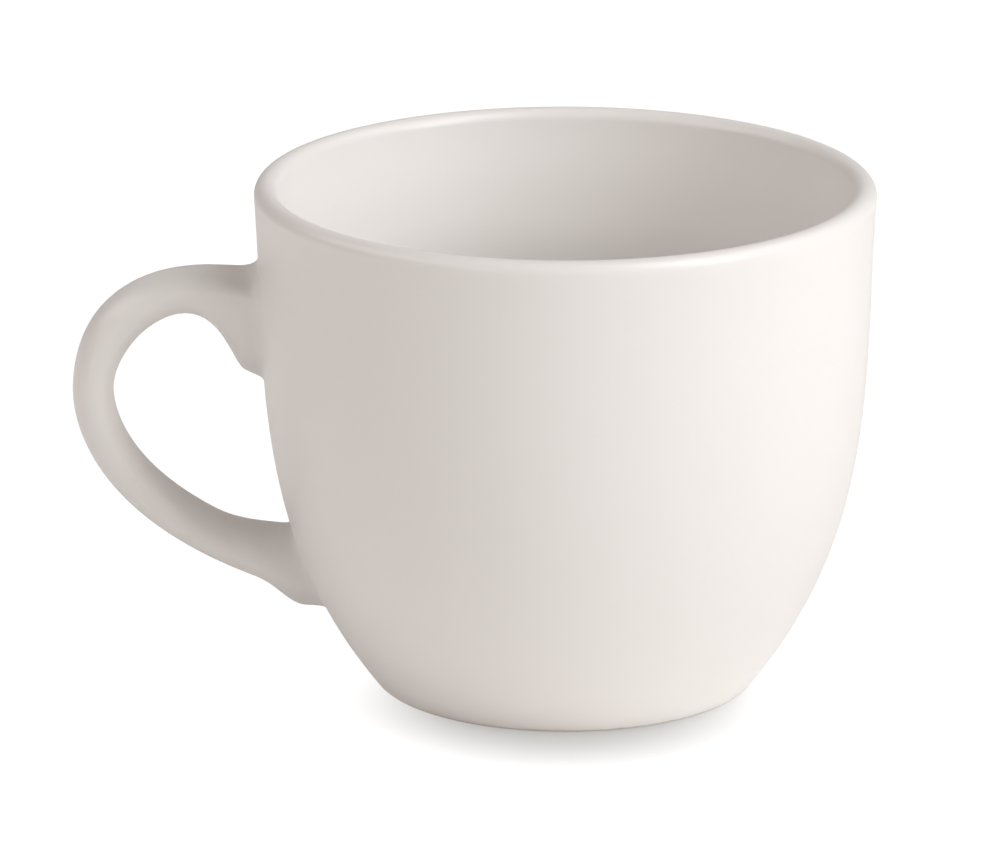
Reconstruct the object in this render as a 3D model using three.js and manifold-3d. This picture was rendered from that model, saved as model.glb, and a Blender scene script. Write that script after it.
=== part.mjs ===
// Espresso cup: a roller-formed porcelain bowl, and a slip-cast handle luted to it with two pads of slip.
// Millimetres and degrees, +Z up. The foot stands on Z = 0 and the handle points along -X.

import * as THREE from 'three';
import { mergeVertices } from 'three/addons/utils/BufferGeometryUtils.js';
import Module from 'manifold-3d';

// Driving dimensions of the bowl
const cupHeight = 51.5;
const rimRadius = 31; // outermost edge of the lip
const lipThickness = 2.4; // the lip is a half round of this width
const rimFlare = 3.9; // the wall's lean just under the lip
const rimRun = 17; // how far down the wall that lean is felt
const footRadius = 18.85; // where the wall's line meets the table
const footFlare = 39; // the wall's lean at the foot
const footRun = 21; // how far up the wall that lean is felt
const wallThickness = 3.2;
const lipTaper = 14; // the wall thins to the lip over this height
const floorThickness = 4;
const floorRound = 8; // size of the inside corner between wall and floor
const footEdge = 0.6; // rounded outer edge of the foot
const footRingWidth = 2.6; // flat ring that touches the table
const recessDepth = 1.4; // hollow under the foot
const recessDraft = 1.2; // run of the hollow's sloping side

// Driving dimensions of the handle
const upperRootHeight = 40.45; // where the handle's spine leaves the wall
const upperRootRise = 8.8; // lean of the spine there, upwards
const gripHeight = 30.05; // where the spine is furthest out
const fingerGap = 15.15; // clear width between wall and grip
const gripRun = 3.65; // how far above the grip the spine stays upright
const shoulderInset = 2.65; // the upper bend's corner lies this far inside the grip's line
const elbowInset = 1.25; // the lower bend's corner lies this far inside the grip's line
const lowerRootHeight = 11.2; // where the spine comes back to the wall
const lowerRootRise = 16.3; // lean of the spine there, upwards going out
const armThickness = 3.4; // in the plane of the handle
const bendThickness = 4.7;
const bendPlace = 15.5; // length of spine from the upper root to the thick of the bend
const gripThickness = 4.1;
const lowerArmThickness = 4.3;
const armWidth = 7.8; // across the handle
const gripWidth = 6.8;
const sectionSquareness = 2.2; // 2 is an ellipse, more is squarer
const rootFlareWidth = 0.8; // each side of a root widens by this much at the wall
const rootFlareReach = 4.5;
const upperTailDrop = 6.7; // the upper root runs down the wall by this much
const upperTailReach = 13.2; // the tail fades out this far from the wall
const upperTailSoftness = 5; // how gently it runs out: 2 is an even S, more is gentler
const lowerHeelRise = 2; // the lower root runs up the wall by this much
const lowerHeelReach = 11.1;
const lowerToeDrop = 1.35; // the lower root runs down the wall by this much
const lowerToeReach = 5.9;
const lowerToeSoftness = 3;

// Driving dimensions of the slip joints
const slipThickness = 0.7;
const upperSlipSpread = 0.85; // the upper fillet's spread where it meets the wall
const lowerSlipSpread = 0.35; // the lower fillet is wiped closer
const slipReach = 1.6; // the fillets fade out this far from the wall
const jointGap = 0.3; // clearance on each side of the slip
const rootDepth = 4; // the roots are lofted this far into the wall before they are cut

// Facets
const roundSides = 72;
const wallSteps = 16;
const lipSteps = 6;
const cornerSteps = 5;
const sectionSides = 20;
const spineSteps = 56;
const rootSteps = 10;
const mergeDistance = 0.0001; // points closer than this are one point
const halvings = 40; // of the range in which a value is searched for

const wasm = await Module();
wasm.setup();

const radians = THREE.MathUtils.degToRad;
const vec = (r, z) => new THREE.Vector2(r, z);
const leaning = (lean, length) => vec(length * Math.sin(radians(lean)), length * Math.cos(radians(lean)));

// A rising function of 0 to 1 is solved for a target by halving.
function solve(rising, target) {
  let low = 0;
  let high = 1;
  for (let step = 0; step < halvings; step++) {
    const middle = (low + high) / 2;
    if (rising(middle) < target) low = middle;
    else high = middle;
  }
  return (low + high) / 2;
}

// The outer wall is one curve from the foot's corner to the outer edge of the lip.
const lipRadius = lipThickness / 2;
const lipCentre = vec(rimRadius - lipRadius, cupHeight - lipRadius);
const wallTop = lipCentre.clone().add(leaning(90 + rimFlare, lipRadius));
const footCorner = vec(footRadius, 0);
const outerWall = new THREE.CubicBezierCurve(
  footCorner,
  footCorner.clone().add(leaning(footFlare, footRun)),
  wallTop.clone().sub(leaning(rimFlare, rimRun)),
  wallTop,
);

// A point beside the outer wall, at a signed distance outwards along its normal.
function besideWall(t, distance) {
  const tangent = outerWall.getTangent(t);
  return outerWall.getPoint(t).add(vec(tangent.y, -tangent.x).multiplyScalar(distance));
}

function wallRadiusAt(height) {
  return outerWall.getPoint(solve((t) => outerWall.getPoint(t).y, height)).x;
}

// The inner wall follows the outer one, and thins towards the lip.
function innerWall(t) {
  const belowLip = wallTop.y - outerWall.getPoint(t).y;
  const share = THREE.MathUtils.smoothstep(belowLip, 0, lipTaper);
  return besideWall(t, -THREE.MathUtils.lerp(lipThickness, wallThickness, share));
}

function steps(count, makePoint) {
  return Array.from({ length: count + 1 }, (_, i) => makePoint(i / count));
}

// The bowl's section, from the middle of the underside, out and over the lip, to the middle of the floor.
function bowlProfile() {
  const ringOuter = footRadius - footEdge;
  const ringInner = ringOuter - footRingWidth;
  const underside = [vec(0, recessDepth), vec(ringInner - recessDraft, recessDepth), vec(ringInner, 0)];

  // The curve sets out from the foot's corner at three runs for each unit of t.
  const wallStart = footEdge / (3 * footRun);
  const edge = new THREE.QuadraticBezierCurve(vec(ringOuter, 0), footCorner, outerWall.getPoint(wallStart));
  const wall = steps(wallSteps, (u) => outerWall.getPoint(THREE.MathUtils.lerp(wallStart, 1, u)));
  const lip = steps(lipSteps, (u) => lipCentre.clone().add(leaning(90 + rimFlare - 180 * u, lipRadius)));

  const floorHeight = recessDepth + floorThickness;
  const innerEnd = solve((t) => innerWall(t).y, floorHeight + floorRound);
  const inner = steps(wallSteps, (u) => innerWall(THREE.MathUtils.lerp(1, innerEnd, u)));
  const cornerStart = inner.at(-1);
  const down = outerWall.getTangent(innerEnd);
  const corner = vec(cornerStart.x - (floorRound * down.x) / down.y, floorHeight);
  const floorEdge = vec(corner.x - floorRound, floorHeight);
  const turn = new THREE.QuadraticBezierCurve(cornerStart, corner, floorEdge);

  return [
    ...underside,
    ...edge.getPoints(cornerSteps).slice(0, -1),
    ...wall,
    ...lip.slice(1, -1),
    ...inner,
    ...turn.getPoints(cornerSteps).slice(1),
    vec(0, floorHeight),
  ];
}

function revolve(profile) {
  const geometry = new THREE.LatheGeometry(profile, roundSides);
  geometry.rotateX(Math.PI / 2);
  return geometry;
}

// A plug with the shape of the outer wall, larger by a clearance, which trims what is luted to the wall.
function wallPlug(clearance) {
  const side = steps(wallSteps, (u) => besideWall(u, clearance));
  return revolve([vec(0, side[0].y), ...side, vec(0, side.at(-1).y)]);
}

// The handle's spine lies in the plane Y = 0. Its points are distances out from the cup's axis, and heights.
const upperRoot = vec(wallRadiusAt(upperRootHeight), upperRootHeight);
const lowerRoot = vec(wallRadiusAt(lowerRootHeight), lowerRootHeight);
const gripReach = wallRadiusAt(gripHeight) + fingerGap + gripThickness;
const grip = vec(gripReach - gripThickness / 2, gripHeight);
const shoulderRun = (grip.x - shoulderInset - upperRoot.x) / Math.cos(radians(upperRootRise));
const elbowRun = (grip.x - elbowInset - lowerRoot.x) / Math.cos(radians(lowerRootRise));
// The run below the grip is the one that carries the upper bend's curvature through the grip.
const gripRunBelow = gripRun * Math.sqrt(elbowInset / shoulderInset);
const upperSpine = new THREE.CubicBezierCurve(
  upperRoot,
  upperRoot.clone().add(leaning(90 - upperRootRise, shoulderRun)),
  grip.clone().add(vec(0, gripRun)),
  grip,
);
const lowerSpine = new THREE.CubicBezierCurve(
  grip,
  grip.clone().sub(vec(0, gripRunBelow)),
  lowerRoot.clone().add(leaning(90 - lowerRootRise, elbowRun)),
  lowerRoot,
);
const upperLength = upperSpine.getLength();
const spineLength = upperLength + lowerSpine.getLength();

// The spine's point and direction, at a length from the upper root. It runs on straight into the wall.
function spineAt(length) {
  const inside = THREE.MathUtils.clamp(length, 0, spineLength);
  const curve = inside < upperLength ? upperSpine : lowerSpine;
  const start = inside < upperLength ? 0 : upperLength;
  const share = Math.min((inside - start) / curve.getLength(), 1);
  const direction = curve.getTangentAt(share);
  const point = curve.getPointAt(share).addScaledVector(direction, length - inside);
  return { point, direction };
}

// A value that eases from one named place along the spine to the next.
function easeAlong(places, values, length) {
  let value = values[0];
  for (let i = 1; i < places.length; i++) {
    value += (values[i] - values[i - 1]) * THREE.MathUtils.smoothstep(length, places[i - 1], places[i]);
  }
  return value;
}

// An amount that is whole at a root, where it is level, and runs out at its reach.
function fade(amount, distance, reach, softness = 2) {
  const share = THREE.MathUtils.clamp(distance / reach, 0, 1);
  return amount * (1 - share) ** softness * (1 + softness * share);
}

// The handle's section at a length along the spine: a squarish oval whose roots run out along the wall.
// The spread is how much wider the section grows for a point at a given distance from the wall.
function sectionAt(length, spread) {
  const { point, direction } = spineAt(length);
  const normal = vec(-direction.y, direction.x);
  const thickness = easeAlong(
    [0, bendPlace, upperLength, spineLength],
    [armThickness, bendThickness, gripThickness, lowerArmThickness],
    length,
  );
  const toLowerRoot = spineLength - length;
  const halfWidth =
    easeAlong([0, upperLength, spineLength], [armWidth, gripWidth, armWidth], length) / 2 +
    fade(rootFlareWidth, Math.min(length, toLowerRoot), rootFlareReach);
  // The toe is fullest at the root, and tucks in again where it goes into the wall.
  const outer = thickness / 2 + fade(lowerToeDrop, Math.abs(toLowerRoot), lowerToeReach, lowerToeSoftness);
  const inner =
    thickness / 2 +
    fade(upperTailDrop, length, upperTailReach, upperTailSoftness) +
    fade(lowerHeelRise, toLowerRoot, lowerHeelReach);
  const rounded = (value) => Math.sign(value) * Math.abs(value) ** (2 / sectionSquareness);

  const ring = [];
  for (let side = 0; side < sectionSides; side++) {
    const angle = (2 * Math.PI * side) / sectionSides;
    const along = rounded(Math.cos(angle)) * (Math.cos(angle) > 0 ? outer : inner);
    const across = rounded(Math.sin(angle)) * halfWidth;
    const plain = point.clone().addScaledVector(normal, along);
    const fromWall = Math.hypot(plain.x, across) - wallRadiusAt(plain.y);
    const growth = spread(fromWall);
    const spot = plain.addScaledVector(normal, growth * Math.cos(angle));
    ring.push(new THREE.Vector3(-spot.x, across + growth * Math.sin(angle), spot.y));
  }
  return ring;
}

// A closed skin over rings of equal count, with a fan of triangles on each end.
function loft(rings) {
  const sides = rings[0].length;
  const last = (rings.length - 1) * sides;
  const centre = (ring) => ring.reduce((sum, p) => sum.add(p), new THREE.Vector3()).divideScalar(sides);
  const points = [...rings.flat(), centre(rings[0]), centre(rings.at(-1))];
  const firstCentre = points.length - 2;
  const lastCentre = points.length - 1;
  const faces = [];
  for (let side = 0; side < sides; side++) {
    const next = (side + 1) % sides;
    for (let base = 0; base < last; base += sides) {
      faces.push(base + side, base + next, base + sides + side);
      faces.push(base + next, base + sides + next, base + sides + side);
    }
    faces.push(firstCentre, next, side);
    faces.push(lastCentre, last + side, last + next);
  }
  const geometry = new THREE.BufferGeometry().setFromPoints(points);
  geometry.setIndex(faces);
  return geometry;
}

function loftSpine(from, to, count, spread) {
  return loft(steps(count, (u) => sectionAt(THREE.MathUtils.lerp(from, to, u), spread)));
}

// A geometry as a solid that can be cut, with its shared points merged and its empty triangles dropped.
function solidOf(geometry) {
  const bare = new THREE.BufferGeometry();
  bare.setAttribute('position', geometry.getAttribute('position'));
  bare.setIndex(geometry.getIndex());
  const merged = mergeVertices(bare, mergeDistance);
  const index = merged.getIndex().array;
  const faces = [];
  for (let i = 0; i < index.length; i += 3) {
    const [a, b, c] = index.subarray(i, i + 3);
    if (a !== b && b !== c && c !== a) faces.push(a, b, c);
  }
  const vertProperties = new Float32Array(merged.getAttribute('position').array);
  return new wasm.Manifold(new wasm.Mesh({ numProp: 3, vertProperties, triVerts: new Uint32Array(faces) }));
}

function geometryOf(solid) {
  const mesh = solid.getMesh();
  const geometry = new THREE.BufferGeometry();
  geometry.setAttribute('position', new THREE.BufferAttribute(new Float32Array(mesh.vertProperties), 3));
  geometry.setIndex(new THREE.BufferAttribute(new Uint32Array(mesh.triVerts), 1));
  return geometry;
}

// The slip lies between the wall and the handle, with a clearance on both sides.
const slipInside = solidOf(wallPlug(jointGap));
const slipOutside = solidOf(wallPlug(jointGap + slipThickness));
const handleTrim = solidOf(wallPlug(2 * jointGap + slipThickness));

const noSpread = () => 0;
const filletOf = (spread) => (fromWall) =>
  spread * (1 - THREE.MathUtils.clamp(fromWall / slipReach, 0, 1)) ** 2;

function handleGeometry() {
  const strap = loftSpine(-rootDepth, spineLength + rootDepth, spineSteps, noSpread);
  return geometryOf(solidOf(strap).subtract(handleTrim));
}

function slipGeometry(root, spread) {
  const plug = loftSpine(root - rootDepth, root + rootDepth, rootSteps, filletOf(spread));
  return geometryOf(solidOf(plug).intersect(slipOutside).subtract(slipInside));
}

const porcelain = new THREE.MeshStandardMaterial({ color: '#f0ebe7', roughness: 0.12, metalness: 0 });
const driedSlip = new THREE.MeshStandardMaterial({ color: '#ece6e1', roughness: 0.16, metalness: 0 });

const cup = new THREE.Group();
function addPiece(name, geometry, material) {
  const piece = new THREE.Mesh(geometry, material);
  piece.name = name;
  cup.add(piece);
}

addPiece('cup_body', revolve(bowlProfile()), porcelain);
addPiece('handle', handleGeometry(), porcelain);
addPiece('upper_slip_joint', slipGeometry(0, upperSlipSpread), driedSlip);
addPiece('lower_slip_joint', slipGeometry(spineLength, lowerSlipSpread), driedSlip);

// The origin is midway between the lip and the grip, on the table.
cup.position.x = (gripReach - rimRadius) / 2;

export default cup;
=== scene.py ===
# %% [markdown]
# # A porcelain espresso cup
# The cup is made of four pieces of clay: a bowl formed on a turning mould, a handle cast by itself, and two
# pads of liquid clay, called slip, that glue the handle to the wall. One clear glaze covers them all. The
# construction is packed already, at its real size. This lesson loads it as a fixed frame, and then gives
# each piece a fine mesh and a finish in the same place.

# %% Load the frame
import math

import bmesh
import bpy
import numpy as np
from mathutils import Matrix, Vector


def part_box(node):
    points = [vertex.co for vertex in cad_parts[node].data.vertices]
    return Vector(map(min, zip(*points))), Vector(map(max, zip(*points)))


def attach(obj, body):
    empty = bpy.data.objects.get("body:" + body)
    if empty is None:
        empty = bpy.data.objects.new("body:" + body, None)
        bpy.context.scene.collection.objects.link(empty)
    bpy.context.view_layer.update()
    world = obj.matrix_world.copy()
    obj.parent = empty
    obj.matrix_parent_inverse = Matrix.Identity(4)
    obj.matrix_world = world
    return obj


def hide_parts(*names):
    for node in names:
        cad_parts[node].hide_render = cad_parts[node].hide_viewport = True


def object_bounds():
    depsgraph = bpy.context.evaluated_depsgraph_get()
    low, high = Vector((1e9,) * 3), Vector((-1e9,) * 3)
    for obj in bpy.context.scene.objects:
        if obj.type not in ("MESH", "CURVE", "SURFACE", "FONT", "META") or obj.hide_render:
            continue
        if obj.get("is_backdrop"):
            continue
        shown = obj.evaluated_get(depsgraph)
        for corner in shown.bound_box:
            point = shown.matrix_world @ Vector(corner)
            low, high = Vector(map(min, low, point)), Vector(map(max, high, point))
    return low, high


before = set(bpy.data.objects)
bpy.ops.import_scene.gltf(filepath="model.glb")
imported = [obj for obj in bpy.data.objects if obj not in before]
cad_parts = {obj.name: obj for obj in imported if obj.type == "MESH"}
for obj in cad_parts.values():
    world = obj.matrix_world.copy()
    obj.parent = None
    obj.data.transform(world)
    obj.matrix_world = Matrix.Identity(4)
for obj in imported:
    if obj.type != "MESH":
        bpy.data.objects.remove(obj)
cad_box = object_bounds()
print("pieces in the frame:", ", ".join(sorted(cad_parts)))

# %% [markdown]
# ## Sizes
# A mesh that stands for a piece has to lie exactly where that piece is. So the cup's axis, its lip and its
# height are read from the frame. The shapes below are worked out in millimetres, the unit a potter uses,
# and turned into Blender's metres only when a mesh is made.

# %% Read the main sizes
MM = 0.001
CM = 0.01
body_low, body_high = (np.array(corner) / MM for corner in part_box("cup_body"))
axis_x = (body_low[0] + body_high[0]) / 2
rim_radius = (body_high[1] - body_low[1]) / 2
cup_height = body_high[2]
print(f"axis at x = {axis_x:.2f} mm, lip {2 * rim_radius:.1f} mm across, {cup_height:.1f} mm high")

# %% [markdown]
# ## The curve of the wall
# The bowl's outside is one flowing line. It leaves the foot at a wide lean and is almost upright at the
# lip. Two handles of a Bezier curve say just that: the lean at each end, and how far along the wall it is
# felt. A list of measured points could trace the line too, but it would wobble, and nobody could adjust it.

# %% Draw the wall
lip_thickness = 2.4
rim_flare = 3.9
rim_run = 17
foot_radius = 18.85
foot_flare = 39
foot_run = 21


def lean(degrees, length):
    """A step of that length in the plane of radius and height, at an angle from upright."""
    return length * np.array([math.sin(math.radians(degrees)), math.cos(math.radians(degrees))])


def bezier(controls, t):
    """The Bezier curve of some control points, at each t. A control may be an array of points."""
    t = np.asarray(t)[..., None]
    curve = [np.asarray(control) for control in controls]
    while len(curve) > 1:
        curve = [a + (b - a) * t for a, b in zip(curve, curve[1:])]
    return curve[0]


lip_radius = lip_thickness / 2
lip_centre = np.array([rim_radius - lip_radius, cup_height - lip_radius])
wall_top = lip_centre + lean(90 + rim_flare, lip_radius)
foot_corner = np.array([foot_radius, 0.0])
wall_controls = [
    foot_corner,
    foot_corner + lean(foot_flare, foot_run),
    wall_top - lean(rim_flare, rim_run),
    wall_top,
]
WALL_SAMPLES = 4000
wall_t = np.linspace(0, 1, WALL_SAMPLES + 1)
wall_line = bezier(wall_controls, wall_t)
wall_slope = np.gradient(wall_line, wall_t, axis=0)
wall_slope /= np.linalg.norm(wall_slope, axis=1)[:, None]


def wall_radius(height):
    """The radius of the outer wall at a height."""
    return np.interp(height, wall_line[:, 1], wall_line[:, 0])


def beside_wall(t, distance):
    """Points beside the outer wall, at a signed distance outwards along its normal."""
    place = np.stack([np.interp(t, wall_t, wall_line[:, k]) for k in (0, 1)], -1)
    slope = np.stack([np.interp(t, wall_t, wall_slope[:, k]) for k in (0, 1)], -1)
    outwards = np.stack([slope[..., 1], -slope[..., 0]], -1)
    return place + outwards * np.asarray(distance)[..., None]


print(f"the wall is {wall_radius(cup_height / 2):.2f} mm from the axis at half height")

# %% [markdown]
# ## The section of the bowl
# Cut the bowl in half and this is the edge you see: a shallow hollow under the foot, the flat ring that
# stands on the table, the wall, a lip rounded like a bead, the inside and the floor. The wall thins towards
# the lip, because a thin lip is pleasant to drink from, and every corner is rounded, because glaze runs off
# a sharp one. Each point also gets a glaze value: the thickness of the glaze there, and painted light and
# shade. Inside, the glaze runs down a little as it melts, so it is thin under the lip, and thicker lower
# down and in the corner; the same value paints light under the lip, and shade lower down and in the corners.

# %% Build the section
wall_thickness = 3.2
lip_taper = 14
floor_thickness = 4
floor_round = 8
foot_edge = 0.6
foot_ring_width = 2.6
recess_depth = 1.4
recess_draft = 1.2
recess_round = 0.5
pooling_and_shade_depth = 20

THIN_GLAZE_AND_LIGHT, EVEN_GLAZE, POOLED_GLAZE_AND_SHADE = 0.0, 0.5, 1.0
WALL_RINGS, LIP_RINGS, CORNER_RINGS, FLAT_RINGS = 64, 20, 16, 8


def smoothstep(value, low, high):
    share = np.clip((value - low) / (high - low), 0, 1)
    return share * share * (3 - 2 * share)


def bend(before, corner, after, size):
    """A rounded corner that starts and ends at a distance from the sharp one."""
    ends = [corner + size * (end - corner) / np.linalg.norm(end - corner) for end in (before, after)]
    return bezier([ends[0], corner, ends[1]], np.linspace(0, 1, CORNER_RINGS + 1))


def straight(start, end):
    """The points between two ends, without them."""
    return start + (end - start) * np.linspace(0, 1, FLAT_RINGS + 1)[1:-1, None]


def inner_wall(t):
    below_lip = wall_top[1] - np.interp(t, wall_t, wall_line[:, 1])
    share = smoothstep(below_lip, 0, lip_taper)
    return beside_wall(t, -(lip_thickness + (wall_thickness - lip_thickness) * share))


ring_outer = np.array([foot_radius - foot_edge, 0])
ring_inner = ring_outer - [foot_ring_width, 0]
recess_edge = np.array([ring_inner[0] - recess_draft, recess_depth])
recess_middle = np.array([0, recess_depth])
recess_corner = bend(recess_middle, recess_edge, ring_inner, recess_round)
ring_corner = bend(recess_edge, ring_inner, ring_outer, recess_round)

# A cubic curve sets out at three times the length of its handle.
wall_start = foot_edge / (3 * foot_run)
outer_t = wall_start + (1 - wall_start) * np.linspace(0, 1, WALL_RINGS + 1)
outer = beside_wall(outer_t, 0 * outer_t)
foot_bend = bezier([ring_outer, foot_corner, outer[0]], np.linspace(0, 1, CORNER_RINGS + 1))
lip_turn = 90 + rim_flare - 180 * np.linspace(0, 1, LIP_RINGS + 1)[1:-1]
lip = lip_centre + np.array([lean(angle, lip_radius) for angle in lip_turn])

floor_height = recess_depth + floor_thickness
inner_line = inner_wall(wall_t)
inner_end = np.interp(floor_height + floor_round, inner_line[:, 1], wall_t)
inner = inner_wall(1 + (inner_end - 1) * np.linspace(0, 1, WALL_RINGS + 1))
inner_lean = np.interp(inner_end, wall_t, wall_slope[:, 0]) / np.interp(inner_end, wall_t, wall_slope[:, 1])
floor_corner = np.array([inner[-1, 0] - floor_round * inner_lean, floor_height])
floor_edge = floor_corner - [floor_round, 0]
floor_middle = np.array([0, floor_height])
floor_bend = bezier([inner[-1], floor_corner, floor_edge], np.linspace(0, 1, 2 * CORNER_RINGS + 1))[1:]
# Lighter under the lip and greyer lower down inside: glaze run, and also painted light and shade.
pooled_and_shaded_share = smoothstep(cup_height - inner[:, 1], 0, pooling_and_shade_depth)
inner_glaze_and_shading = THIN_GLAZE_AND_LIGHT + (POOLED_GLAZE_AND_SHADE - THIN_GLAZE_AND_LIGHT) * pooled_and_shaded_share

# The corners of the recess and of the inside floor get pooled glaze, which is also painted shade there.
section = [
    (straight(recess_middle, recess_corner[0]), EVEN_GLAZE),
    (recess_corner, POOLED_GLAZE_AND_SHADE),
    (straight(recess_corner[-1], ring_corner[0]), EVEN_GLAZE),
    (ring_corner, EVEN_GLAZE),
    (straight(ring_corner[-1], ring_outer), EVEN_GLAZE),
    (foot_bend[:-1], EVEN_GLAZE),
    (outer, EVEN_GLAZE),
    (lip, EVEN_GLAZE),
    (inner, inner_glaze_and_shading),
    (floor_bend, POOLED_GLAZE_AND_SHADE),
    (straight(floor_edge, floor_middle), EVEN_GLAZE),
]
bowl_section = np.concatenate([points for points, glaze in section])
bowl_glaze_and_shading = np.concatenate([np.full(len(points), glaze) for points, glaze in section])
SOFTENED_RINGS = 15
softening = np.hanning(SOFTENED_RINGS)
padded_glaze_and_shading = np.pad(bowl_glaze_and_shading, SOFTENED_RINGS // 2, mode="edge")
bowl_glaze_and_shading = np.convolve(padded_glaze_and_shading, softening / softening.sum(), mode="valid")
print(f"section of {len(bowl_section)} points, floor {floor_thickness} mm thick")

# %% [markdown]
# ## One skin for every piece
# All four pieces are rings of points in a row, with a point in the middle of each end: circles for the
# bowl, ovals for the handle. One function can skin them all with quads, so every mesh is closed and has no
# stray faces. Blender's Screw and Skin modifiers could do this too, but then the glaze values, which also
# carry painted light and shade, couldn't ride on the points. Edges marked sharp keep a smooth side from
# being shaded into a flat end.

# %% Write the skin function


def skin(name, rings, ends, glaze, sharp_rings=()):
    """A closed mesh over rings of points in millimetres, with a point at each end."""
    count, sides = rings.shape[:2]
    points = np.concatenate([rings.reshape(-1, 3), np.array(ends)]) * MM
    first_end, last_end = len(points) - 2, len(points) - 1
    side = np.arange(sides)
    next_side = np.roll(side, -1)
    faces = []
    for ring in range(count - 1):
        here, there = ring * sides, (ring + 1) * sides
        quads = [here + side, here + next_side, there + next_side, there + side]
        faces += np.stack(quads, 1).tolist()
    last = (count - 1) * sides
    for a, b in zip(side.tolist(), next_side.tolist()):
        faces.append((first_end, b, a))
        faces.append((last_end, last + a, last + b))

    mesh = bpy.data.meshes.new(name)
    mesh.from_pydata(points.tolist(), [], faces)
    mesh.shade_smooth()
    for edge in mesh.edges:
        ring_a, ring_b = (vertex // sides for vertex in edge.vertices)
        edge.use_edge_sharp = ring_a == ring_b and ring_a in sharp_rings
    # The glaze value of each point: glaze thickness, and also painted light and shade.
    glaze_and_shading = mesh.attributes.new("glaze", "FLOAT", "POINT")
    ring_glaze_and_shading = np.broadcast_to(glaze, (count, sides)).ravel()
    glaze_and_shading.data.foreach_set("value", np.append(ring_glaze_and_shading, ring_glaze_and_shading[[0, -1]]))
    piece = bpy.data.objects.new(name, mesh)
    bpy.context.scene.collection.objects.link(piece)

    measured = bmesh.new()
    measured.from_mesh(mesh)
    volume = measured.calc_volume(signed=True) / CM**3
    open_edges = sum(not edge.is_manifold for edge in measured.edges)
    measured.free()
    print(f"{name}: {len(mesh.polygons)} faces, {volume:.2f} cm3, {open_edges} open edges")
    return piece


# %% [markdown]
# ## The bowl
# A bowl like this is pressed by a heated roller against a spinning plaster mould, so it is truly round.
# Turning the section about the cup's axis makes the same thing. The sides are many, because the lip is seen
# against white and would show its corners.

# %% Turn the bowl
BOWL_SIDES = 256
turn = np.linspace(0, 2 * math.pi, BOWL_SIDES, endpoint=False)


def turned(radius, height):
    """A point at each turn about the cup's axis."""
    radius, height = np.broadcast_arrays(radius, height)
    across = axis_x + radius[..., None] * np.cos(turn)
    deep = radius[..., None] * np.sin(turn)
    return np.stack([across, deep, np.broadcast_to(height[..., None], across.shape)], -1)


bowl_ends = [(axis_x, 0, recess_depth), (axis_x, 0, floor_height)]
bowl_rings = turned(bowl_section[:, 0], bowl_section[:, 1])
cup_body = skin("porcelain_bowl", bowl_rings, bowl_ends, bowl_glaze_and_shading[:, None])

# %% [markdown]
# ## The line of the handle
# The handle is an ear: it leaves the wall near the lip, turns down round a finger and comes back low on the
# wall. Its spine is two Bezier curves that meet at the grip, the point furthest out. The pull of the lower
# one is worked out so that the bend flows through the grip without a change of curvature, which the eye
# would catch in the gloss.

# %% Draw the spine
upper_root_height = 40.45
upper_root_rise = 8.8
grip_height = 30.05
finger_gap = 15.15
grip_run = 3.65
shoulder_inset = 2.65
elbow_inset = 1.25
lower_root_height = 11.2
lower_root_rise = 16.3
grip_thickness = 4.1

upper_root = np.array([wall_radius(upper_root_height), upper_root_height])
lower_root = np.array([wall_radius(lower_root_height), lower_root_height])
grip = np.array([wall_radius(grip_height) + finger_gap + grip_thickness / 2, grip_height])
shoulder_run = (grip[0] - shoulder_inset - upper_root[0]) / math.cos(math.radians(upper_root_rise))
elbow_run = (grip[0] - elbow_inset - lower_root[0]) / math.cos(math.radians(lower_root_rise))
grip_run_below = grip_run * math.sqrt(elbow_inset / shoulder_inset)
shoulder = upper_root + lean(90 - upper_root_rise, shoulder_run)
elbow = lower_root + lean(90 - lower_root_rise, elbow_run)
upper_controls = [upper_root, shoulder, grip + [0, grip_run], grip]
lower_controls = [grip, grip - [0, grip_run_below], elbow, lower_root]

SPINE_SAMPLES = 1000
spine_t = np.linspace(0, 1, SPINE_SAMPLES + 1)
spine = np.concatenate([bezier(upper_controls, spine_t), bezier(lower_controls, spine_t)[1:]])
spine_run = np.append(0, np.cumsum(np.linalg.norm(np.diff(spine, axis=0), axis=1)))
spine_ahead = np.gradient(spine, spine_run, axis=0)
upper_length, spine_length = spine_run[SPINE_SAMPLES], spine_run[-1]


def spine_at(length):
    """The spine's point and direction at a length from the upper root. It runs on straight into the wall."""
    inside = np.clip(length, 0, spine_length)
    point = np.stack([np.interp(inside, spine_run, spine[:, k]) for k in (0, 1)], -1)
    ahead = np.stack([np.interp(inside, spine_run, spine_ahead[:, k]) for k in (0, 1)], -1)
    ahead /= np.linalg.norm(ahead, axis=-1)[..., None]
    return point + ahead * (length - inside)[..., None], ahead


print(f"the spine is {spine_length:.1f} mm long, the grip is at {upper_length:.1f} mm")

# %% [markdown]
# ## The section of the handle
# The handle is an oval strap, a little thicker round the upper bend, where the finger lifts. At both ends
# it spreads to hold the wall: the upper root has a long tail down the wall, and the lower one a heel above
# and a toe below. Each spread is a value that fades with the distance from the root, so the strap stays one
# smooth surface.

# %% Write the strap's surface
arm_thickness = 3.4
bend_thickness = 4.7
bend_place = 15.5
lower_arm_thickness = 4.3
arm_width = 7.8
grip_width = 6.8
section_squareness = 2.2
root_flare_width = 0.8
root_flare_reach = 4.5
upper_tail_drop = 6.7
upper_tail_reach = 13.2
upper_tail_softness = 5
lower_heel_rise = 2
lower_heel_reach = 11.1
lower_toe_drop = 1.35
lower_toe_reach = 5.9
lower_toe_softness = 3


def ease_along(places, values, length):
    """A value that eases from one place along the spine to the next."""
    eased = np.full(np.shape(length), float(values[0]))
    for i in range(1, len(places)):
        eased += (values[i] - values[i - 1]) * smoothstep(length, places[i - 1], places[i])
    return eased


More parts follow.
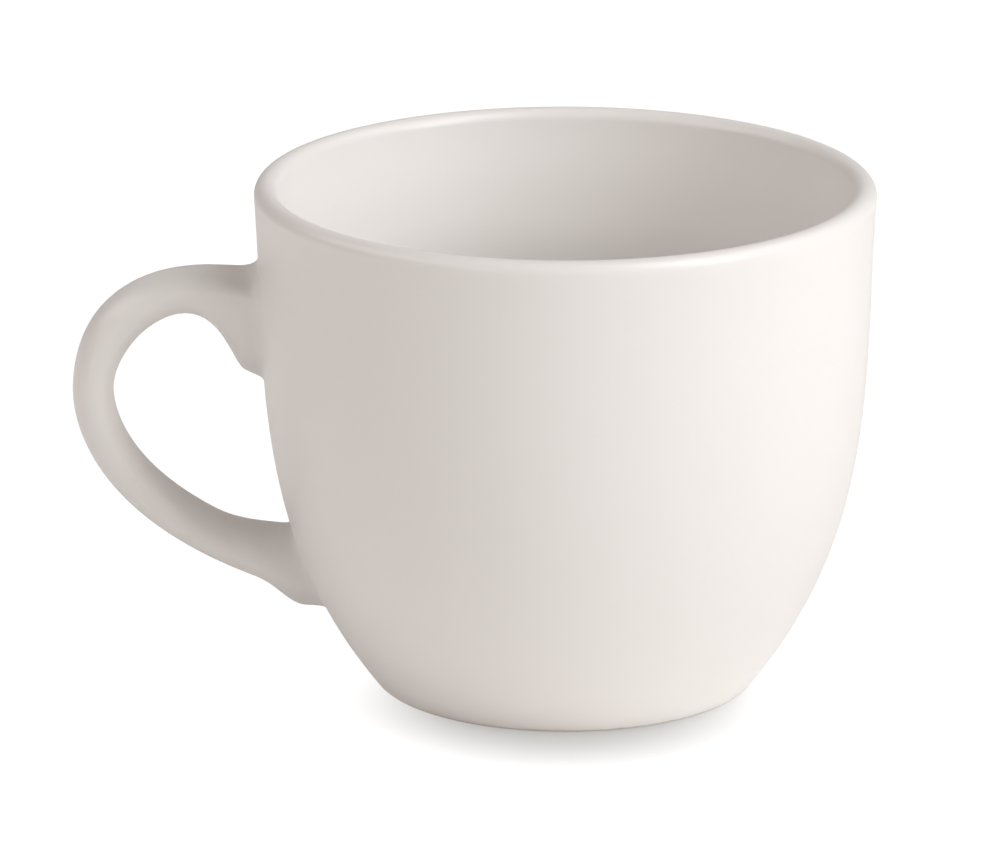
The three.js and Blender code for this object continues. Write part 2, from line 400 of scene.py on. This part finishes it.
def fade(amount, distance, reach, softness=2):
    """An amount that is whole at a root, where it is level, and runs out at its reach."""
    share = np.clip(distance / reach, 0, 1)
    return amount * (1 - share) ** softness * (1 + softness * share)


def rounded(value):
    return np.sign(value) * np.abs(value) ** (2 / section_squareness)


def strap(length, angle):
    """Points of the handle's surface, at lengths along the spine and angles round its section."""
    point, ahead = spine_at(length)
    outwards = np.stack([-ahead[..., 1], ahead[..., 0]], -1)
    to_lower_root = spine_length - length
    half_thickness = 0.5 * ease_along(
        [0, bend_place, upper_length, spine_length],
        [arm_thickness, bend_thickness, grip_thickness, lower_arm_thickness],
        length,
    )
    half_width = 0.5 * ease_along(
        [0, upper_length, spine_length],
        [arm_width, grip_width, arm_width],
        length,
    )
    half_width += fade(root_flare_width, np.minimum(length, to_lower_root), root_flare_reach)
    toe = fade(lower_toe_drop, np.abs(to_lower_root), lower_toe_reach, lower_toe_softness)
    tail = fade(upper_tail_drop, length, upper_tail_reach, upper_tail_softness)
    heel = fade(lower_heel_rise, to_lower_root, lower_heel_reach)
    outer_side = half_thickness + toe
    inner_side = half_thickness + tail + heel

    along = rounded(np.cos(angle)) * np.where(np.cos(angle) > 0, outer_side, inner_side)
    across = rounded(np.sin(angle)) * half_width
    place = point + outwards * along[..., None]
    return np.stack([axis_x - place[..., 0], across, place[..., 1]], -1)


# %% [markdown]
# ## Where the handle meets the wall
# A potter cuts the ends of the handle to fit the curved wall. The cut is where the strap's surface crosses
# the wall, and for each angle round the strap it is found by halving a range that is known to hold it. A
# boolean would find the same line, but would leave ragged triangles along it.

# %% Find the two cuts
HANDLE_SIDES = 96
ROOT_DEPTH = 4
HALVINGS = 40
strap_angle = np.linspace(0, 2 * math.pi, HANDLE_SIDES, endpoint=False)


def off_wall(points):
    """How far points stand out from the outer wall."""
    radius = np.hypot(points[..., 0] - axis_x, points[..., 1])
    return radius - wall_radius(points[..., 2])


def cut_at_wall(inside, outside):
    """The length along the spine at which each line of the strap comes out of the wall."""
    inside = np.full(HANDLE_SIDES, float(inside))
    outside = np.full(HANDLE_SIDES, float(outside))
    for _ in range(HALVINGS):
        middle = (inside + outside) / 2
        is_out = off_wall(strap(middle, strap_angle)) > 0
        outside = np.where(is_out, middle, outside)
        inside = np.where(is_out, inside, middle)
    return (inside + outside) / 2


upper_cut = cut_at_wall(-ROOT_DEPTH, ROOT_DEPTH)
lower_cut = cut_at_wall(spine_length + ROOT_DEPTH, spine_length - ROOT_DEPTH)
for root, cut in (("upper", upper_cut), ("lower", lower_cut)):
    print(f"the {root} cut reaches {np.ptp(cut):.2f} mm along the strap")

# %% [markdown]
# ## The handle
# The casting stops short of the wall by the reach of the slip's fillet, and the slip takes over there. Both
# pieces share that ring of points, so the gloss runs across the joint without a seam. The glaze gathers
# towards the roots: under the upper one, and all round the lower one. Its greyer colour there is also
# painted shade, where the handle and the wall shade each other.

# %% Skin the handle
slip_reach = 1.6
top_slip_reach = 2.6
tail_slip_reach = 2
root_pool_and_shade_reach = 7
HANDLE_RINGS = 200


def around(outer, flank, inner):
    """A value for each angle round the strap, blended from its outer side, flanks and inner side."""
    ends = np.where(np.cos(strap_angle) > 0, outer, inner)
    return flank + (ends - flank) * np.cos(strap_angle) ** 2


upper_edge = upper_cut + around(top_slip_reach, slip_reach, tail_slip_reach)
lower_edge = lower_cut - slip_reach
share = np.linspace(0, 1, HANDLE_RINGS + 1)[:, None]
strap_length = upper_edge + (lower_edge - upper_edge) * share
strap_rings = strap(strap_length, np.broadcast_to(strap_angle, strap_length.shape))
strap_ends = [strap_rings[0].mean(0), strap_rings[-1].mean(0)]
# Greyer near the roots: pooled glaze, and also painted shade under the upper root and round the lower one.
upper_pool_and_shade = around(outer=0, flank=0.4, inner=1)
lower_pool_and_shade = around(outer=1, flank=1, inner=1)
near_upper = 1 - smoothstep(strap_length - upper_edge, 0, root_pool_and_shade_reach)
near_lower = 1 - smoothstep(lower_edge - strap_length, 0, root_pool_and_shade_reach)
strap_pool_and_shade = upper_pool_and_shade * near_upper + lower_pool_and_shade * near_lower
strap_glaze_and_shade = EVEN_GLAZE + (POOLED_GLAZE_AND_SHADE - EVEN_GLAZE) * strap_pool_and_shade
handle = skin("cast_handle", strap_rings, strap_ends, strap_glaze_and_shade, sharp_rings=(0, HANDLE_RINGS))

# %% [markdown]
# ## The slip joints
# Slip squeezes out as the handle is pressed on, and is wiped with a sponge into a small hollow fillet. For
# each angle round the strap, a Bezier curve leaves the wall along its surface and ends along the strap.
# That is a fillet that is smooth at both edges, also where the strap comes in at a slant. It is longest on
# top of the upper root. The end on the wall goes in a little way under the glaze.

# %% Skin the two fillets
upper_slip_spread = around(outer=1.5, flank=1.2, inner=0.9)
lower_slip_spread = around(outer=0.35, flank=0.7, inner=0.35)
slip_sink = 0.15
FILLET_RINGS = 18
FILLET_PULL = 0.6
POOLED_AND_SHADED_FROM = 0.5
TANGENT_STEP = 0.05


def unit(vectors):
    return vectors / np.linalg.norm(vectors, axis=-1)[..., None]


def wall_normal(points):
    """The outward direction of the wall at points on it."""
    height = points[..., 2]
    slope = np.stack([np.interp(height, wall_line[:, 1], wall_slope[:, k]) for k in (0, 1)], -1)
    level = unit(np.stack([points[..., 0] - axis_x, points[..., 1]], -1))
    return np.stack([level[..., 0] * slope[..., 1], level[..., 1] * slope[..., 1], -slope[..., 0]], -1)


def onto_wall(points):
    """Points moved level, out from the axis or in, until they lie on the wall."""
    level = unit(np.stack([points[..., 0] - axis_x, points[..., 1]], -1))
    level = level * wall_radius(points[..., 2])[..., None]
    return np.stack([axis_x + level[..., 0], level[..., 1], points[..., 2]], -1)


def slip_joint(name, cut, edge, spread, pool_and_shading):
    seam = strap(cut, strap_angle)
    on_strap = strap(edge, strap_angle)
    towards_wall = np.sign(cut - edge) * TANGENT_STEP
    down_strap = unit(strap(edge + towards_wall, strap_angle) - on_strap)

    along_seam = np.roll(seam, -1, axis=0) - np.roll(seam, 1, axis=0)
    away = unit(np.cross(along_seam, wall_normal(seam)))
    away *= np.sign(np.sum(away * (seam - seam.mean(0)), axis=-1))[:, None]
    on_wall = onto_wall(seam + spread[:, None] * away)
    normal = wall_normal(on_wall)
    up_wall = unit(normal * np.sum(away * normal, axis=-1)[:, None] - away)

    wall_pull = FILLET_PULL * np.linalg.norm(seam - on_wall, axis=-1)[:, None]
    strap_pull = FILLET_PULL * np.linalg.norm(seam - on_strap, axis=-1)[:, None]
    controls = [on_wall, on_wall + up_wall * wall_pull, on_strap + down_strap * strap_pull, on_strap]
    fillet_t = np.linspace(0, 1, FILLET_RINGS + 1)
    fillet = np.stack([bezier(controls, np.full(HANDLE_SIDES, t)) for t in fillet_t])
    rings = np.concatenate([(on_wall - slip_sink * normal)[None], fillet])
    # The fillet greys from its edge on the wall to its middle and stays so to the strap: pooled glaze, and
    # also painted shade in the hollow of the joint.
    ring_pool_and_shade = np.append(0, smoothstep(fillet_t, 0, POOLED_AND_SHADED_FROM))[:, None] * pool_and_shading
    glaze = EVEN_GLAZE + (POOLED_GLAZE_AND_SHADE - EVEN_GLAZE) * ring_pool_and_shade
    if cut[0] > edge[0]:
        rings, glaze = rings[:, ::-1], glaze[:, ::-1]
    ends = [rings[0].mean(0), rings[-1].mean(0)]
    return skin(name, rings, ends, glaze, sharp_rings=(0, 1, FILLET_RINGS + 1))


upper_slip = slip_joint("upper_slip_fillet", upper_cut, upper_edge, upper_slip_spread, upper_pool_and_shade)
lower_slip = slip_joint("lower_slip_fillet", lower_cut, lower_edge, lower_slip_spread, lower_pool_and_shade)

# %% [markdown]
# ## Shader maths as Python
# A material is a tree of nodes. Wiring each sum by hand hides what it means, so one small class wraps a
# node's output and lets Python's own operators add the Math nodes. Its method called node adds any other
# kind: first come the settings, then the values or links of the sockets.

# %% Write the class


class Value:
    """An output of a shader tree."""

    def __init__(self, tree, socket=None):
        self.tree = tree
        self.socket = socket

    def node(self, kind, settings=None, sockets=None, output=0):
        """Add a node of any kind to the tree, and give one of its outputs."""
        made = self.tree.nodes.new(kind)
        for name, setting in (settings or {}).items():
            setattr(made, name, setting)
        for name, given in (sockets or {}).items():
            if isinstance(given, Value):
                self.tree.links.new(given.socket, made.inputs[name])
            else:
                made.inputs[name].default_value = given
        return Value(self.tree, made.outputs[output] if made.outputs else None)

    def maths(self, operation, first, second=0.0):
        return self.node("ShaderNodeMath", {"operation": operation}, {0: first, 1: second})

    def __add__(self, other):
        return self.maths("ADD", self, other)

    def __sub__(self, other):
        return self.maths("SUBTRACT", self, other)

    def __rsub__(self, other):
        return self.maths("SUBTRACT", other, self)

    def __mul__(self, other):
        return self.maths("MULTIPLY", self, other)

    __radd__ = __add__
    __rmul__ = __mul__

    def step(self, low, high):
        """0 below low and 1 above high, with a smooth rise between."""
        sockets = {"Value": self, "From Min": low, "From Max": high}
        return self.node("ShaderNodeMapRange", {"interpolation_type": "SMOOTHSTEP"}, sockets)

    def mix(self, first, second):
        """A colour between two, with this value as the share of the second."""
        sockets = {"Factor": self, "A": first, "B": second}
        return self.node("ShaderNodeMix", {"data_type": "RGBA"}, sockets, output="Result")


def new_tree(owner):
    """An empty shader tree on a material or world."""
    owner.use_nodes = True
    owner.node_tree.nodes.clear()
    return Value(owner.node_tree)


# %% [markdown]
# ## Glazed porcelain
# Porcelain fires to a warm white, and the clear glaze over it is glass. It runs as it melts: inside the
# bowl it is thin under the lip, and thick lower down and at the handle's joints. The colour follows it, and
# is also painted light and shade: brighter under the lip, and a touch greyer lower down, in the corners and
# at the joints. Its surface has the faint ripple of poured glass, a few thousandths of a millimetre high and
# some millimetres long. The foot ring is wiped bare before firing, or it would stick to the kiln shelf:
# there the body shows, matt and a little buff. The colours are plain numbers, so the material needs no image
# and looks the same at any size.

# %% Make the glaze
PER_MM = 1000.0
# The thin colour is also painted light, and the pooled colour also painted shade.
thin_and_light_colour = (0.945, 0.923, 0.904, 1)
even_colour = (0.903, 0.877, 0.856, 1)
pooled_and_shade_colour = (0.815, 0.791, 0.77, 1)
bare_colour = (0.73, 0.69, 0.64, 1)
bare_grain_tint = 1.08
glaze_roughness = 0.34
bare_roughness = 0.72
cloud_size, grain_size, ripple_size, wobble_size = 14, 0.35, 3.2, 2.5
cloud_in_pool = 0.25
cloud_in_gloss, grain_in_gloss = 0.05, 0.02
bare_grain_mm = 0.02
glaze_line_wobble, glaze_line_blur = 0.3, 0.12
glass_ior = 1.5
coat_weight = 0.08
coat_roughness = 0.2


def noise(tree, place, size_mm, detail):
    """Noise with features of a size in millimetres."""
    sockets = {"Vector": place, "Scale": PER_MM / size_mm, "Detail": detail}
    return tree.node("ShaderNodeTexNoise", {}, sockets, output="Fac")


def glazed(name, ripple_mm, glaze_line_mm):
    material = bpy.data.materials.new(name)
    tree = new_tree(material)
    place = tree.node("ShaderNodeTexCoord", output="Object")
    height = tree.node("ShaderNodeSeparateXYZ", {}, {"Vector": place}, output="Z") * PER_MM
    glaze = tree.node("ShaderNodeAttribute", {"attribute_name": "glaze"}, output="Fac")

    cloud = noise(tree, place, cloud_size, detail=2)
    grain = noise(tree, place, grain_size, detail=3)
    ripple = noise(tree, place, ripple_size, detail=1)
    wobble = noise(tree, place, wobble_size, detail=2)
    wavy_height = height + glaze_line_wobble * (wobble - 0.5)
    glazed_here = wavy_height.step(glaze_line_mm, glaze_line_mm + glaze_line_blur)

    # Lighter where the glaze is thin and greyer where it pools: also painted light and shade.
    pool_and_shading = glaze + cloud_in_pool * (cloud - 0.5)
    colour = pool_and_shading.step(THIN_GLAZE_AND_LIGHT, EVEN_GLAZE).mix(thin_and_light_colour, even_colour)
    colour = pool_and_shading.step(EVEN_GLAZE, POOLED_GLAZE_AND_SHADE).mix(colour, pooled_and_shade_colour)
    grain_colour = tuple(bare_grain_tint * part for part in bare_colour[:3]) + (1,)
    bare = grain.mix(bare_colour, grain_colour)
    colour = glazed_here.mix(bare, colour)

    gloss = glaze_roughness + cloud_in_gloss * (cloud - 0.5) + grain_in_gloss * (grain - 0.5)
    roughness = gloss * glazed_here + bare_roughness * (1 - glazed_here)
    relief = ripple * ripple_mm * glazed_here + bare_grain_mm * grain * (1 - glazed_here)
    bump_sockets = {"Strength": 1.0, "Distance": MM, "Height": relief}
    bump = tree.node("ShaderNodeBump", {}, bump_sockets, output="Normal")
    shader = tree.node("ShaderNodeBsdfPrincipled", {}, {
        "Base Color": colour,
        "Roughness": roughness,
        "IOR": glass_ior,
        "Coat Weight": coat_weight * glazed_here,
        "Coat Roughness": coat_roughness,
        "Coat IOR": glass_ior,
        "Normal": bump,
    })
    tree.node("ShaderNodeOutputMaterial", {}, {"Surface": shader})
    return material


porcelain_glaze = glazed("porcelain_glaze", ripple_mm=0.004, glaze_line_mm=0.3)
slip_glaze = glazed("slip_glaze", ripple_mm=0.006, glaze_line_mm=0.3)
print("made", porcelain_glaze.name, "and", slip_glaze.name)

# %% [markdown]
# ## Dress the frame
# Each mesh gets its finish, rides on the cup's one body, and hides the piece of the frame that it stands
# for. The list also gives the material slot of the record that each is made of; nothing reads it.

# %% Replace the four pieces
dressing = [
    (cup_body, "cup_body", "glazed_porcelain", porcelain_glaze),
    (handle, "handle", "glazed_porcelain", porcelain_glaze),
    (upper_slip, "upper_slip_joint", "glazed_slip", slip_glaze),
    (lower_slip, "lower_slip_joint", "glazed_slip", slip_glaze),
]
for piece, node, slot, finish in dressing:
    piece.data.materials.append(finish)
    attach(piece, "root")
    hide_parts(node)
    print(f"{piece.name} stands for {node}")

# %% [markdown]
# ## The floor
# The cup stands on a white table that melts into a white background. The floor is a pale matt sheet. For
# the rays of the camera, and for those mirrored in the glaze, it is mixed with a white glow that lights
# nothing. The glow is dimmed round the foot, and a little to the front: a painted shadow of the cup.

# %% Lay the floor
WHITE, BLACK = (1, 1, 1, 1), (0, 0, 0, 1)
floor_size = 4.0
floor_drop = 0.00005
floor_colour = (0.96, 0.95, 0.94, 1)
glow_strength = 1.2
glow_for_camera = 0.8
glow_in_gloss = 0.1
# The colour, place and size of the painted shadow in the floor's glow.
shade_colour = (0.46, 0.45, 0.44, 1)
shade_offset = 8.5
shade_start, shade_end = 10, 26
shade_squeeze = 1.1

bpy.ops.mesh.primitive_plane_add(size=floor_size, location=(axis_x * MM, 0, -floor_drop))
floor = bpy.context.object
floor.name = "floor"
floor_paint = bpy.data.materials.new("floor_paint")
tree = new_tree(floor_paint)
place = tree.node("ShaderNodeTexCoord", output="Object")
ahead = tree.node("ShaderNodeMapping", {}, {
    "Vector": place,
    "Location": (0, shade_offset, 0),
    "Scale": (shade_squeeze * PER_MM, PER_MM, PER_MM),
})
from_foot = tree.node("ShaderNodeVectorMath", {"operation": "LENGTH"}, {0: ahead}, output="Value")
# Painted shadow: the glow greys in a soft disc round the foot, shifted to the front.
glow_colour = from_foot.step(shade_start, shade_end).mix(shade_colour, WHITE)
seen = tree.node("ShaderNodeLightPath", output="Is Camera Ray")
mirrored = tree.node("ShaderNodeLightPath", output="Is Glossy Ray")
through_glass = tree.node("ShaderNodeLightPath", output="Is Transmission Ray")
mirrored = tree.maths("MAXIMUM", mirrored, through_glass)
glow_share = glow_for_camera * seen + glow_in_gloss * mirrored
matt = tree.node("ShaderNodeBsdfDiffuse", {}, {"Color": floor_colour})
glow = tree.node("ShaderNodeEmission", {}, {"Color": glow_colour, "Strength": glow_strength})
sheet = tree.node("ShaderNodeMixShader", {}, {"Fac": glow_share, 1: matt, 2: glow})
tree.node("ShaderNodeOutputMaterial", {}, {"Surface": sheet})
floor.data.materials.append(floor_paint)
floor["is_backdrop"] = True
print(f"floor of {floor_size} m")

# %% [markdown]
# ## The light
# The photograph has one large soft light to the right of the camera, a smaller one further round that
# reaches into the bowl, a weaker one on the left, and a pale room with a dark ceiling that fills the
# shadows. Each light is a panel that is brightest in the middle and fades to its edges, as a softbox does,
# so its mirror image in the glaze has no hard edge. An area lamp would be even all over.

# %% Hang the panels
room_colour = (1, 0.93, 0.885, 1)
room_strength = 0.43
ceiling_start, ceiling_end = 0.57, 0.75
panel_distance = 0.9
PANEL_EDGE = 0.25


def aim(lamp, azimuth, elevation, distance, target):
    """Put a lamp round the cup, with azimuth 0 at the camera and 90 to its right, facing the target."""
    a, e = math.radians(azimuth), math.radians(elevation)
    back = np.array([math.sin(a) * math.cos(e), -math.cos(a) * math.cos(e), math.sin(e)])
    lamp.location = np.array(target) + distance * back
    lamp.rotation_euler = (math.pi / 2 - e, 0, a)


def softbox(name, azimuth, elevation, size, strength, colour):
    """A glowing panel round the cup, of a width and height in metres, that fades to its edges."""
    bpy.ops.mesh.primitive_plane_add(size=1)
    panel = bpy.context.object
    panel.name = name
    panel.scale = (*size, 1)
    panel.visible_camera = False
    aim(panel, azimuth, elevation, panel_distance, (axis_x * MM, 0, cup_height / 2 * MM))
    cloth = bpy.data.materials.new(name)
    tree = new_tree(cloth)
    place = tree.node("ShaderNodeTexCoord", output="Object")
    share = 1.0
    for side in "XY":
        across = tree.node("ShaderNodeSeparateXYZ", {}, {"Vector": place}, output=side)
        share = share * (0.5 - tree.maths("ABSOLUTE", across)).step(0, PANEL_EDGE)
    faded = share.mix(BLACK, colour)
    light = tree.node("ShaderNodeEmission", {}, {"Color": faded, "Strength": strength})
    tree.node("ShaderNodeOutputMaterial", {}, {"Surface": light})
    panel.data.materials.append(cloth)
    panel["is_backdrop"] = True
    print(f"{name} at {azimuth} degrees, {size[0]} by {size[1]} m, strength {strength}")


softbox("key_softbox", azimuth=57, elevation=40, size=(0.6, 1.4), strength=4.7, colour=WHITE)
softbox("side_softbox", azimuth=108, elevation=42, size=(0.5, 0.5), strength=2.25, colour=WHITE)
softbox("fill_softbox", azimuth=-83, elevation=37, size=(1.5, 0.6), strength=1.7, colour=room_colour)

world = bpy.data.worlds.new("pale_room")
bpy.context.scene.world = world
tree = new_tree(world)
direction = tree.node("ShaderNodeTexCoord", output="Generated")
upwards = tree.node("ShaderNodeSeparateXYZ", {}, {"Vector": direction}, output="Z")
strength = room_strength * (1 - upwards.step(ceiling_start, ceiling_end))
backdrop = tree.node("ShaderNodeBackground", {}, {"Color": room_colour, "Strength": strength})
tree.node("ShaderNodeOutputWorld", {}, {"Surface": backdrop})
print(f"room of strength {room_strength}")

# %% [markdown]
# ## The camera
# The view was worked out from the photograph: the lip's ellipse gives the camera's height above it, and the
# way the foot's ellipse is rounder gives the distance. It is a long lens from almost a metre away, so the
# cup hardly tapers. The lens is given in pixels of the frame and then turned into millimetres on the
# sensor.

# %% Place the camera
frame_width = 1000
sensor_width = 36
lens_pixels = 8977
axis_pixel = 564.9
camera_distance = 900
camera_elevation = 16.44
aim_height = 26.03

camera_data = bpy.data.cameras.new("camera")
camera_data.sensor_width = sensor_width
camera_data.lens = lens_pixels * sensor_width / frame_width
camera = bpy.data.objects.new("camera", camera_data)
bpy.context.scene.collection.objects.link(camera)
aim_x = axis_x - (axis_pixel - frame_width / 2) * camera_distance / lens_pixels
aim(camera, 0, camera_elevation, camera_distance * MM, (aim_x * MM, 0, aim_height * MM))
bpy.context.scene.camera = camera
bpy.context.scene.view_settings.view_transform = "Standard"
print(f"lens {camera_data.lens:.0f} mm, camera at {[round(x, 4) for x in camera.location]}")

# %% [markdown]
# ## The size
# The meshes have to keep the size of the construction, so both boxes are printed.

# %% Write the sizes and finish
visual_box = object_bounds()
boxes = {"cad": [list(corner) for corner in cad_box], "visual": [list(corner) for corner in visual_box]}
for name, box in boxes.items():
    print(f"{name} box in mm:", [[round(x / MM, 2) for x in corner] for corner in box])
